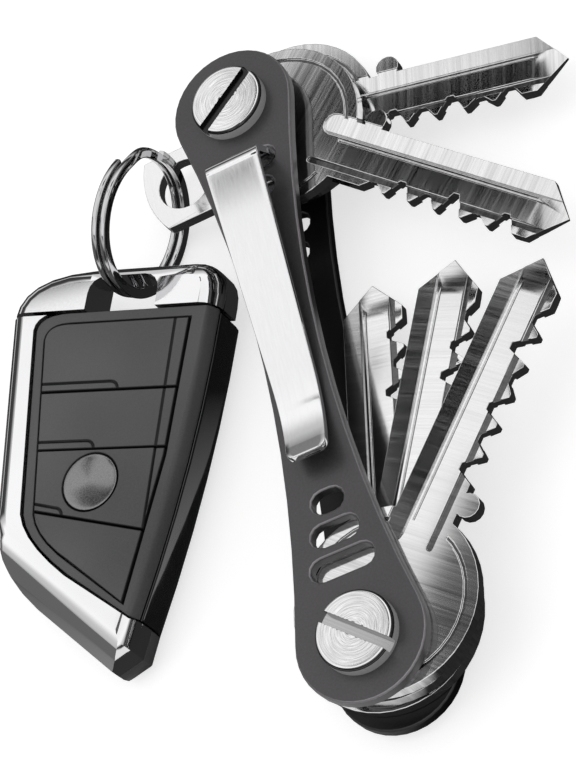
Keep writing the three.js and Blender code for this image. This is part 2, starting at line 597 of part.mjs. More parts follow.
const stems = [
  [DISC_X, (SPLIT_HIGH + FACE_TOP) / 2], [DISC_X, (SPLIT_MID + SPLIT_HIGH) / 2],
  [DISC_X, DISC_Y], [DISC_X + DISC_RADIUS, SPLIT_LOW_RIGHT - DISC_RADIUS / 2],
];
const boardPlan = (inset) => points([
  [PANEL_RIGHT - inset, FACE_TOP - inset], [FOB_LEFT + FACE_LEFT + inset, FACE_TOP - inset],
  [FOB_LEFT_LOW + FACE_LEFT + inset, SPLIT_LOW_LEFT], [-DISC_RADIUS * 1.5, FACE_BOTTOM + inset * 2],
  [PANEL_RIGHT_LOW - inset, FACE_BOTTOM + inset * 2],
]);
const cellFloor = SHELL_SPLIT - CELL_THICK;
const shell = fobBlock
  .intersect(belowCap(FACE_TOP, FLOOR, SHELL_SPLIT))
  .subtract(sideCut)
  .subtract(disc(DISC_X, SPLIT_MID, CELL_RADIUS + FIT_GAP, cellFloor - FIT_GAP, fobFace, RIM_FACETS));
add('fob_back_shell', geometryOf(shell), fobPlastic, fob);
const frameBody = fobBlock
  .intersect(belowCap(FACE_TOP - FIT_GAP, SHELL_SPLIT, fobFace + CUT_OVER))
  .subtract(prism(facePlan(FIT_GAP), FLOOR, fobFace + CUT_OVER))
  .subtract(sideCut);
add('fob_frame', geometryOf(frameBody), chrome, fob);
const slotTurn = FOB_TOP - CAP_BAR - FOB_BEVEL;
const capSlot = [
  ...arc(CAP_SLOT_RIGHT - FOB_BEVEL, slotTurn, FOB_BEVEL, 0, Math.PI / 2, CORNER_STEPS),
  ...arc(CAP_SLOT_LEFT + FOB_BEVEL, slotTurn, FOB_BEVEL, Math.PI / 2, Math.PI, CORNER_STEPS),
  ...points([[CAP_SLOT_LEFT, FACE_TOP - CUT_OVER], [CAP_SLOT_RIGHT, FACE_TOP - CUT_OVER]]),
];
const cap = fobBlock
  .intersect(prism(box2(-far, FACE_TOP + FIT_GAP, far, far), CAP_UNDER, fobFace + CUT_OVER))
  .subtract(prism(capSlot, FLOOR, fobFace + CUT_OVER))
  .subtract(prism(box2(CAP_SLOT_LEFT, FACE_TOP - CUT_OVER, CAP_SLOT_RIGHT, far), FLOOR, SLOT_MID_Z));
add('fob_top_cap', geometryOf(cap), chrome, fob);
let cover = fobBlock
  .intersect(prism(facePlan(0), SHELL_SPLIT, faceTop))
  .intersect(belowCap(FACE_TOP, FLOOR, fobFace))
  .subtract(sideCut)
  .subtract(prism(panelPlan(0), pocketFloor, fobFace + CUT_OVER))
  .subtract(prism(boardPlan(BOARD_INSET - FIT_GAP), FLOOR, boardTop + FIT_GAP));
stems.forEach(([x, y]) => {
  cover = cover.subtract(disc(x, y, STEM_RADIUS + FIT_GAP, FLOOR, fobFace, STEM_FACETS));
});
add('fob_front_cover', geometryOf(cover), fobPlastic, fob);

// Buttons: the panel cut along three lines, each with a stem down to the board
const buttonTop = faceTop + BUTTON_PROUD;
const buttonBase = buttonTop - BUTTON_THICK;
const half = FIT_GAP / 2;
const lowSplit = (x) => SPLIT_LOW_LEFT
  + ((SPLIT_LOW_RIGHT - SPLIT_LOW_LEFT) * (x - FOB_LEFT_LOW)) / (PANEL_RIGHT - FOB_LEFT_LOW);
const sloped = (shift) => [FOB_LEFT, FOB_RIGHT].map((x) => [x, lowSplit(x) + shift]);
const bands = [
  box2(FOB_LEFT, SPLIT_HIGH + half, FOB_RIGHT, FOB_TOP),
  box2(FOB_LEFT, SPLIT_MID + half, FOB_RIGHT, SPLIT_HIGH - half),
  points([...sloped(half), [FOB_RIGHT, SPLIT_MID - half], [FOB_LEFT, SPLIT_MID - half]]),
  points([...sloped(-half).reverse(), [FOB_LEFT, FOB_BOTTOM], [FOB_RIGHT, FOB_BOTTOM]]),
];
// Moulded lines: a crease down the right, and a lip over the left end of each split
const lineFloor = buttonTop - LINE_CUT;
const crease = prism(points([
  [CREASE_LOW, SPLIT_LOW_RIGHT], [CREASE_LOW + LINE_CUT, SPLIT_LOW_RIGHT],
  [CREASE_TOP + LINE_CUT, FACE_TOP], [CREASE_TOP, FACE_TOP],
]), lineFloor, fobFace);
const splits = [() => SPLIT_HIGH, () => SPLIT_MID, lowSplit];
const lips = RIDGE_ENDS.map((end, i) => {
  const base = splits[i];
  const bend = (r) => arc(end - RIDGE_HEIGHT, base(end), r, 0, Math.PI / 2, CORNER_STEPS);
  return prism([
    ...bend(RIDGE_HEIGHT),
    new THREE.Vector2(FOB_LEFT, base(FOB_LEFT) + RIDGE_HEIGHT),
    new THREE.Vector2(FOB_LEFT, base(FOB_LEFT) + RIDGE_HEIGHT - LINE_CUT),
    ...bend(RIDGE_HEIGHT - LINE_CUT).reverse(),
  ], lineFloor, fobFace);
});
const discSeat = buttonTop - DISC_DEPTH;
const panel = prism(panelPlan(FIT_GAP), buttonBase, buttonTop)
  .subtract(disc(DISC_X, DISC_Y, DISC_RADIUS + half, discSeat, fobFace, RIM_FACETS));
bands.forEach((band, i) => {
  const [x, y] = stems[i];
  let button = panel.intersect(prism(band, buttonBase, buttonTop));
  if (i < lips.length) {
    button = button.subtract(crease).subtract(lips[i]);
  }
  const stem = disc(x, y, STEM_RADIUS, boardTop + BUTTON_TRAVEL + half, buttonBase + half, STEM_FACETS);
  add(`fob_button_${i + 1}`, geometryOf(button.add(stem)), fobPlastic, fob);
});
const domeTop = buttonTop + DISC_PROUD;
const dome = curve([DISC_RADIUS, domeTop - DISC_DOME], [DISC_RADIUS - DISC_DOME, domeTop - DISC_DOME / 2],
  [0, domeTop], CURVE_STEPS);
dome[dome.length - 1].setX(0);
const discProfile = [...points([[0, discSeat], [DISC_RADIUS, discSeat]]), ...dome];
const discBody = new THREE.LatheGeometry(discProfile, RIM_FACETS).rotateX(Math.PI / 2);
add('fob_button_disc', geometryOf(solid(discBody)), fobPlastic, fob).position.set(DISC_X, DISC_Y, 0);
const side = fobBlock.intersect(sideZone(SIDE_DEPTH, 0));
add('fob_side_panel', geometryOf(side), fobGloss, fob);
const board = raised(shapeOf(boardPlan(BOARD_INSET)), boardTop - BOARD_THICK, boardTop);
add('fob_circuit_board', board, boardGreen, fob);
const cellShape = shapeOf(circle(DISC_X, SPLIT_MID, CELL_RADIUS, RIM_FACETS));
add('fob_coin_cell', raised(cellShape, cellFloor, SHELL_SPLIT, half), cellSteel, fob);

// The fob hangs with its slot on the ring
const slotLocal = new THREE.Vector3((CAP_SLOT_LEFT + CAP_SLOT_RIGHT) / 2, FOB_TOP - CAP_BAR - CUT_OVER, 0);
fob.rotation.z = rad(FOB_TURN);
fob.position.copy(slotPoint).setZ(0).sub(slotLocal.applyAxisAngle(upAxis, rad(FOB_TURN)));

export default part;
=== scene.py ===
import json
import math

import bpy
from bpy.props import FloatProperty, FloatVectorProperty, IntProperty, PointerProperty
from mathutils import Matrix, Vector

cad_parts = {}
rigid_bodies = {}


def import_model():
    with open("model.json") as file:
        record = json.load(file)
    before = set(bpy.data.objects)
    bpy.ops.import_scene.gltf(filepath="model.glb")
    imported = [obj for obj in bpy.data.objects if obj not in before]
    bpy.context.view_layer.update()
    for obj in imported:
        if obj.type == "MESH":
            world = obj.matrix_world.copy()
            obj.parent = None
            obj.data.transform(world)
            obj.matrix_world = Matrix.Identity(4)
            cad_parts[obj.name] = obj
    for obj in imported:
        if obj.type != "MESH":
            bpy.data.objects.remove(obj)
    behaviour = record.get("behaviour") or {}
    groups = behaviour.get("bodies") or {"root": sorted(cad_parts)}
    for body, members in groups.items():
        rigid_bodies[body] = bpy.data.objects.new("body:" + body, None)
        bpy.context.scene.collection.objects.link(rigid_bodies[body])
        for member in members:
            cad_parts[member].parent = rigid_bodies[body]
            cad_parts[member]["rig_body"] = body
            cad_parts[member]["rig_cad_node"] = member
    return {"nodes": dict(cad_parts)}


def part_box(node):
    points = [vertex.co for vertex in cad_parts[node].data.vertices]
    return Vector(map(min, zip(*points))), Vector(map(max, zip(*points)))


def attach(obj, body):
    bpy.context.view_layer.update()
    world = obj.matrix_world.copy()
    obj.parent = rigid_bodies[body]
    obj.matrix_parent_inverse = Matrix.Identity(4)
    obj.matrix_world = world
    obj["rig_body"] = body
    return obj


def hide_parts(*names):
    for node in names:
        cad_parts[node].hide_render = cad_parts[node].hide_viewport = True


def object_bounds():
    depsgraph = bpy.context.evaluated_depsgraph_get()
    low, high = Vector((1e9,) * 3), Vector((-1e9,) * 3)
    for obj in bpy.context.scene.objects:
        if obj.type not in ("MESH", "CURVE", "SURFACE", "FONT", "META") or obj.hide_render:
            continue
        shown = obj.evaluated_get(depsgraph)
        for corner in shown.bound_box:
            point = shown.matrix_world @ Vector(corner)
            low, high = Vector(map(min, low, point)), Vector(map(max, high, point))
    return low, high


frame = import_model()
CAD_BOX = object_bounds()

bl_info = {
    "name": "Pocket key holder",
    "version": (1, 0, 0),
    "blender": (4, 5, 0),
    "location": "View3D > Sidebar > Key holder",
    "description": "Dresses a packed pocket key holder with its keys, clip, split ring and fob",
    "category": "Object",
}

MM = 0.001
# Points closer than this are one, and faces that lean less than this apart are one face
MERGE = 1e-6
FLAT_ANGLE = math.radians(0.4)


def middle(node):
    """The middle of a CAD node's box."""
    low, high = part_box(node)
    return (low + high) / 2


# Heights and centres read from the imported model
FLOOR_Z = CAD_BOX[0].z
FRONT_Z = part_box("front_plate")[1].z
HEAD_LOW, HEAD_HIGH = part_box("top_screw")
HEAD_RADIUS = (HEAD_HIGH.x - HEAD_LOW.x) / 2
TOP_Y = middle("top_screw").y
BOTTOM_Y = middle("bottom_screw").y

# Each key: its post's place along Y, and its clockwise turn from +Y in degrees
KEYS = {
    "key_bottom_front": (BOTTOM_Y, 40.3),
    "key_bottom_middle": (BOTTOM_Y, 25.0),
    "key_bottom_rear": (BOTTOM_Y, 10.6),
    "key_top_front": (TOP_Y, 133.4),
    "key_top_rear": (TOP_Y, 103.6),
}


class HolderSizes(bpy.types.PropertyGroup):
    """Sizes of the modelled pieces, in metres."""
    edge_round: FloatProperty(
        name="Edge round", description="Rounding of sharp edges on posts and spacers",
        default=0.10 * MM, unit="LENGTH")
    plate_round: FloatProperty(
        name="Plate edge round", description="Rounding of sharp edges on plates and keys",
        default=0.08 * MM, unit="LENGTH")
    strip_round: FloatProperty(
        name="Strip edge round", description="Rounding of sharp edges on the clip and the loop",
        default=0.12 * MM, unit="LENGTH")
    fob_round: FloatProperty(
        name="Fob edge round", description="Rounding of the fob's moulded edges",
        default=0.132 * MM, unit="LENGTH")
    head_round: FloatProperty(
        name="Head round", description="Rounding of a screw head's rim",
        default=0.55 * MM, unit="LENGTH")
    ring_pitch: FloatProperty(
        name="Turning pitch", description="Distance between turned rings on a screw head",
        default=0.62 * MM, unit="LENGTH")
    ring_depth: FloatProperty(
        name="Turning depth", description="Depth of the turned rings",
        default=0.035 * MM, unit="LENGTH")
    drive_width: FloatProperty(
        name="Slot width", description="Width of a screw's driving slot",
        default=1.6 * MM, unit="LENGTH")
    drive_depth: FloatProperty(
        name="Slot depth", description="Depth of a screw's driving slot",
        default=1.5 * MM, unit="LENGTH")
    shank_radius: FloatProperty(
        name="Shank radius", description="Radius of a screw's shank",
        default=1.65 * MM, unit="LENGTH")
    clip_thick: FloatProperty(
        name="Clip thickness", description="Thickness of the clip's strip",
        default=1.0 * MM, unit="LENGTH")
    clip_wide: FloatProperty(
        name="Clip width", description="Width of the clip at its crest",
        default=8.0 * MM, unit="LENGTH")
    clip_tip_wide: FloatProperty(
        name="Clip tip width", description="Width of the clip at its tip",
        default=5.7 * MM, unit="LENGTH")
    coil_mean: FloatProperty(
        name="Ring radius", description="Mean radius of the split ring",
        default=9.9 * MM, unit="LENGTH")
    coil_radial: FloatProperty(
        name="Strand depth", description="Radial depth of the ring's strand",
        default=1.5 * MM, unit="LENGTH")
    coil_axial: FloatProperty(
        name="Strand width", description="Axial width of the ring's strand",
        default=0.9 * MM, unit="LENGTH")
    coil_round: FloatProperty(
        name="Strand round", description="Rounding of the strand's edges",
        default=0.24 * MM, unit="LENGTH")
    coil_pitch: FloatProperty(
        name="Turn spacing", description="Distance between the ring's two turns",
        default=1.4 * MM, unit="LENGTH")
    coil_steps: IntProperty(
        name="Ring steps", description="Steps in one turn of the split ring", default=96)


class HolderColours(bpy.types.PropertyGroup):
    """Colours of the finishes."""
    anodised: FloatVectorProperty(
        name="Anodised plates", description="Dark satin anodised aluminium",
        subtype="COLOR", default=(0.112, 0.108, 0.112), min=0, max=1)
    turned: FloatVectorProperty(
        name="Turned steel", description="Bright turned screw heads and loop",
        subtype="COLOR", default=(0.90, 0.90, 0.90), min=0, max=1)
    polished: FloatVectorProperty(
        name="Polished steel", description="Mirror-polished clip",
        subtype="COLOR", default=(0.93, 0.93, 0.94), min=0, max=1)
    key_steel: FloatVectorProperty(
        name="Key steel", description="Brushed key faces",
        subtype="COLOR", default=(0.90, 0.90, 0.90), min=0, max=1)
    chrome: FloatVectorProperty(
        name="Chrome", description="Split ring and fob trim",
        subtype="COLOR", default=(0.93, 0.93, 0.94), min=0, max=1)
    plastic: FloatVectorProperty(
        name="Fob plastic", description="Dark grey satin moulding",
        subtype="COLOR", default=(0.075, 0.075, 0.076), min=0, max=1)
    disc: FloatVectorProperty(
        name="Fob disc", description="Spun dark metal disc on the fob",
        subtype="COLOR", default=(0.26, 0.26, 0.26), min=0, max=1)
    gloss: FloatVectorProperty(
        name="Gloss black", description="Gloss black side of the fob",
        subtype="COLOR", default=(0.008, 0.008, 0.009), min=0, max=1)
    board: FloatVectorProperty(
        name="Circuit board", description="Green lacquered board inside the fob",
        subtype="COLOR", default=(0.02, 0.10, 0.04), min=0, max=1)
    cell: FloatVectorProperty(
        name="Coin cell", description="Steel case of the cell inside the fob",
        subtype="COLOR", default=(0.50, 0.50, 0.52), min=0, max=1)
    nylon: FloatVectorProperty(
        name="Nylon", description="Black spacers between the keys",
        subtype="COLOR", default=(0.020, 0.020, 0.022), min=0, max=1)


def sizes():
    return bpy.context.scene.holder_sizes


def colours():
    return bpy.context.scene.holder_colours


# Selection and mesh helpers


def begin():
    """Deselects everything, in object mode."""
    if bpy.context.mode != "OBJECT":
        bpy.ops.object.mode_set(mode="OBJECT")
    bpy.ops.object.select_all(action="DESELECT")


def only(piece):
    """Leaves this object alone selected and active, in object mode."""
    begin()
    piece.select_set(True)
    bpy.context.view_layer.objects.active = piece


def open_all(piece):
    """Opens a piece in edit mode with everything selected."""
    only(piece)
    bpy.ops.object.mode_set(mode="EDIT")
    bpy.ops.mesh.select_all(action="SELECT")


def open_faces(piece, test):
    """Opens a piece in edit mode with the faces selected that pass a test of centre and normal."""
    only(piece)
    bpy.ops.object.mode_set(mode="EDIT")
    bpy.ops.mesh.select_mode(type="FACE")
    bpy.ops.mesh.select_all(action="DESELECT")
    bpy.ops.object.mode_set(mode="OBJECT")
    for face in piece.data.polygons:
        face.select = bool(test(face.center, face.normal))
    bpy.ops.object.mode_set(mode="EDIT")


def close():
    """Goes back from edit mode to object mode."""
    bpy.ops.object.mode_set(mode="OBJECT")


def named(name):
    """Names the piece just added."""
    piece = bpy.context.active_object
    piece.name = name
    piece.data.name = name
    return piece


def settle(piece):
    """Puts a piece's place, turn and scale into its mesh."""
    only(piece)
    bpy.ops.object.transform_apply(location=True, rotation=True, scale=True)


def modified(piece, kind, **settings):
    """Adds a modifier to a piece, sets it and applies it."""
    only(piece)
    bpy.ops.object.modifier_add(type=kind)
    made = piece.modifiers[-1]
    for key, value in settings.items():
        setattr(made, key, value)
    bpy.ops.object.modifier_apply(modifier=made.name)


def copy_of(node):
    """A merged copy of a CAD node, with its flat faces made whole."""
    only(frame["nodes"][node])
    bpy.ops.object.duplicate(linked=False)
    piece = named(node + "_dressed")
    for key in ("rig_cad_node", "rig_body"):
        del piece[key]
    piece.data.materials.clear()
    open_all(piece)
    bpy.ops.mesh.remove_doubles(threshold=MERGE)
    bpy.ops.mesh.dissolve_limited(angle_limit=FLAT_ANGLE)
    close()
    return piece


def soften(piece, width, segments=2, angle=32.0):
    """Rounds the sharp edges and shades the curves smooth."""
    modified(piece, "BEVEL", width=width, segments=segments, limit_method="ANGLE",
             angle_limit=math.radians(angle), use_clamp_overlap=False)
    smooth(piece, angle)


def smooth(piece, angle):
    """Shades curves smooth, and keeps the large flat faces flat."""
    only(piece)
    bpy.ops.object.shade_smooth_by_angle(angle=math.radians(angle))
    modified(piece, "WEIGHTED_NORMAL", weight=100, keep_sharp=True)


def combine(piece, other, how):
    """Joins or cuts a piece with another, which is used up."""
    modified(piece, "BOOLEAN", operation=how, solver="EXACT", object=other)
    only(other)
    bpy.ops.object.delete()


def cylinder(name, radius, low, high, y, vertices):
    """An upright cylinder on the holder's middle line."""
    begin()
    bpy.ops.mesh.primitive_cylinder_add(
        vertices=vertices, radius=radius, depth=high - low, location=(0, y, (low + high) / 2))
    piece = named(name)
    settle(piece)
    return piece


def paint(piece, finish, test=None):
    """Gives the whole piece, or the faces that pass a test, a finish."""
    piece.data.materials.append(finish)
    if test is None:
        return
    index = len(piece.data.materials) - 1
    for face in piece.data.polygons:
        if test(face.center, face.normal):
            face.material_index = index


def hand_over(piece, body, node):
    """Rides the piece on its body in place of a CAD node."""
    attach(piece, body)
    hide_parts(node)


# Shader helpers


def add_node(tree, kind, values=(), links=(), **settings):
    """A shader node with its settings, its sockets' values and its links."""
    made = tree.nodes.new(kind)
    for key, value in settings.items():
        setattr(made, key, value)
    for key, value in dict(values).items():
        made.inputs[key].default_value = value
    for key, source in dict(links).items():
        tree.links.new(source, made.inputs[key])
    return made


def bare_tree(owner):
    """The emptied node tree of a material or a world."""
    owner.use_nodes = True
    owner.node_tree.nodes.clear()
    return owner.node_tree


def either(tree, share, first, second):
    """One shader or another, by a share."""
    return add_node(
        tree, "ShaderNodeMixShader", links={"Fac": share, 1: first.outputs[0], 2: second.outputs[0]})


def stepped(tree, source, stops):
    """Greys that follow a value through soft steps."""
    made = add_node(tree, "ShaderNodeValToRGB", links={"Fac": source})
    ramp = made.color_ramp
    ramp.interpolation = "EASE"
    while len(ramp.elements) < len(stops):
        ramp.elements.new(0.5)
    for element, (position, level) in zip(ramp.elements, stops):
        element.position = position
        element.color = grey(level)
    return made.outputs["Color"]


def grey(level):
    return (level, level, level, 1)


def tint(colour, factor):
    """A colour made darker or lighter."""
    return tuple(min(1.0, part * factor) for part in colour)


# Finishes

# Where most of a noise's values lie
NOISE_LOW = 0.3
NOISE_HIGH = 0.7
# Where a key's bow gives way to its blade, along the key from its post
BOW_END = (8.5 * MM, 16.0 * MM)
# Turned marks in a metre from a screw's axis outward
TURNED_MARKS = 6500


class Finish:
    """A procedural material, built node by node on the piece's own coordinates."""

    def __init__(self, name, metallic):
        self.material = bpy.data.materials.new(name)
        self.material.use_nodes = True
        self.tree = self.material.node_tree
        self.shader = self.tree.nodes["Principled BSDF"]
        self.place = self.node("ShaderNodeTexCoord").outputs["Object"]
        self.put("Metallic", metallic)

    def node(self, kind, values=(), links=(), **settings):
        return add_node(self.tree, kind, values, links, **settings)

    def put(self, socket, value):
        self.shader.inputs[socket].default_value = value

    def link(self, socket, source):
        self.tree.links.new(source, self.shader.inputs[socket])

    def turned_to(self, centre=(0, 0, 0), degrees=0.0, scale=(1, 1, 1)):
        """The place centred, turned about Z and stretched."""
        moved = self.node(
            "ShaderNodeVectorMath", {1: centre}, {0: self.place}, operation="SUBTRACT")
        spun = self.node(
            "ShaderNodeVectorRotate", {"Angle": math.radians(degrees)},
            {"Vector": moved.outputs["Vector"]}, rotation_type="Z_AXIS")
        sized = self.node(
            "ShaderNodeVectorMath", {1: scale}, {0: spun.outputs["Vector"]}, operation="MULTIPLY")
        return sized.outputs["Vector"]

    def noise(self, scale=1.0, detail=2.0, vector=None):
        made = self.node(
            "ShaderNodeTexNoise", {"Scale": scale, "Detail": detail}, {"Vector": vector or self.place})
        return made.outputs["Fac"]

    def spread(self, source, first, last, start=NOISE_LOW, end=NOISE_HIGH):
        """Values from first to last while the source goes from start to end."""
        made = self.node(
            "ShaderNodeMapRange",
            {"From Min": start, "From Max": end, "To Min": first, "To Max": last}, {"Value": source})
        return made.outputs["Result"]

    def tones(self, source, colour, dark, light):
        """Two tints of a colour, mixed by a noise."""
        made = self.node("ShaderNodeValToRGB", links={"Fac": source})
        ends = zip(made.color_ramp.elements, (NOISE_LOW, NOISE_HIGH), (dark, light))
        for element, position, factor in ends:
            element.position = position
            element.color = (*tint(colour, factor), 1)
        return made.outputs["Color"]

    def mixed(self, first, second, weight):
        made = self.node(
            "ShaderNodeMix", {0: weight}, {2: first, 3: second}, data_type="FLOAT")
        return made.outputs[0]

    def colour(self, source, colour, dark, light):
        self.link("Base Color", self.tones(source, colour, dark, light))

    def roughness(self, source, first, last):
        self.link("Roughness", self.spread(source, first, last))

    def bump(self, source, strength, distance):
        made = self.node(
            "ShaderNodeBump", {"Strength": strength, "Distance": distance}, {"Height": source})
        self.link("Normal", made.outputs["Normal"])


def anodised_finish(name, colour):
    """Dark satin anodising: a fine blasted grain with faint clouds."""
    made = Finish(name, metallic=0.85)
    grain = made.noise(scale=3200, detail=3)
    clouds = made.noise(scale=70, detail=3)
    both = made.mixed(grain, clouds, weight=0.4)
    made.colour(both, colour, dark=0.86, light=1.14)
    made.roughness(both, 0.36, 0.46)
    made.bump(grain, strength=0.12, distance=0.03 * MM)
    return made.material


def turned_finish(name, colour, y):
    """Bright steel with fine marks that run round a screw's axis."""
    made = Finish(name, metallic=1.0)
    centred = made.turned_to((0, y, 0))
    flat = made.node("ShaderNodeVectorMath", {1: (1, 1, 0)}, {0: centred}, operation="MULTIPLY")
    reach = made.node("ShaderNodeVectorMath", links={0: flat.outputs["Vector"]}, operation="LENGTH")
    ray = made.node("ShaderNodeVectorMath", links={0: flat.outputs["Vector"]}, operation="NORMALIZE")
    outward = made.node("ShaderNodeCombineXYZ", links={"Z": reach.outputs["Value"]})
    far = made.node(
        "ShaderNodeVectorMath", {1: (0, 0, TURNED_MARKS)}, {0: outward.outputs["Vector"]},
        operation="MULTIPLY")
    round_it = made.node(
        "ShaderNodeVectorMath", links={0: far.outputs["Vector"], 1: ray.outputs["Vector"]},
        operation="ADD")
    marks = made.noise(scale=1.4, detail=3, vector=round_it.outputs["Vector"])
    made.colour(marks, colour, dark=0.72, light=1.15)
    made.roughness(marks, 0.18, 0.08)
    made.bump(marks, strength=0.08, distance=0.01 * MM)
    return made.material


def slot_finish(name, colour, y, degrees):
    """Milled steel, with marks along a screw's slot."""
    made = Finish(name, metallic=1.0)
    grain = made.noise(vector=made.turned_to((0, y, 0), -degrees, scale=(60, 4000, 400)))
    made.colour(grain, colour, dark=0.8, light=1.2)
    made.roughness(grain, 0.08, 0.16)
    return made.material


def spun_finish(name, colour, centre):
    """Dark metal spun round a middle, so that its sheen opens in wedges."""
    made = Finish(name, metallic=1.0)
    turned = made.node(
        "ShaderNodeVectorTransform", links={"Vector": made.turned_to(centre)},
        vector_type="VECTOR", convert_from="OBJECT", convert_to="WORLD")
    made.link("Tangent", turned.outputs["Vector"])
    made.put("Anisotropic", 0.5)
    grain = made.noise(scale=4200)
    made.colour(grain, colour, dark=0.9, light=1.1)
    made.roughness(grain, 0.15, 0.21)
    return made.material


def brushed_finish(name, colour, centre, degrees, contrast, rough):
    """Steel brushed across the length of a key, and more strongly and darker on its bow."""
    made = Finish(name, metallic=1.0)
    fine = made.noise(vector=made.turned_to(centre, degrees, scale=(60, 3400, 300)))
    broad = made.noise(vector=made.turned_to(centre, degrees, scale=(35, 1200, 150)))
    lines = made.mixed(fine, broad, weight=0.5)
    blade = made.tones(lines, colour, dark=1 - contrast, light=1 + contrast)
    bow = made.tones(lines, colour, dark=0.55, light=1.1)
    apart = made.node("ShaderNodeSeparateXYZ", links={0: made.turned_to(centre, degrees)})
    share = made.spread(apart.outputs["Y"], 0, 1, *BOW_END)
    both = made.node("ShaderNodeMix", links={0: share, 6: bow, 7: blade}, data_type="RGBA")
    made.link("Base Color", both.outputs[2])
    made.roughness(lines, *rough)
    made.bump(lines, strength=0.025, distance=0.01 * MM)
    return made.material


def drawn_finish(name, colour, rough):
    """Polished steel with hair-fine marks along the strip."""
    made = Finish(name, metallic=1.0)
    hairs = made.noise(vector=made.turned_to(scale=(3600, 80, 3600)))
    smears = made.noise(scale=120)
    made.colour(hairs, colour, dark=0.98, light=1.02)
    made.roughness(made.mixed(hairs, smears, weight=0.6), *rough)
    made.bump(hairs, strength=0.01, distance=0.01 * MM)
    return made.material


def chrome_finish(name, colour):
    """Bright plating with faint smears."""
    made = Finish(name, metallic=1.0)
    fine = made.noise(scale=2600)
    smears = made.noise(scale=60)
    made.colour(smears, colour, dark=0.97, light=1.03)
    made.roughness(made.mixed(fine, smears, weight=0.5), 0.035, 0.075)
    return made.material


def gloss_finish(name, colour):
    """Gloss black lacquer with faint clouds."""
    made = Finish(name, metallic=0.0)
    clouds = made.noise(scale=300)
    made.colour(clouds, colour, dark=0.8, light=1.25)
    made.roughness(clouds, 0.08, 0.14)
    made.put("Coat Weight", 1.0)
    return made.material


def moulded_finish(name, colour, rough, grain=4200):
    """A fine spark-eroded grain under a soft uneven sheen, painted into the colour by large clouds."""
    made = Finish(name, metallic=0.0)
    fine = made.noise(scale=grain)
    clouds = made.noise(scale=48, detail=1)
    both = made.mixed(fine, clouds, weight=0.75)
    made.colour(both, colour, dark=0.7, light=1.4)
    made.roughness(both, *rough)
    made.bump(fine, strength=0.1, distance=0.02 * MM)
    return made.material


# Operators


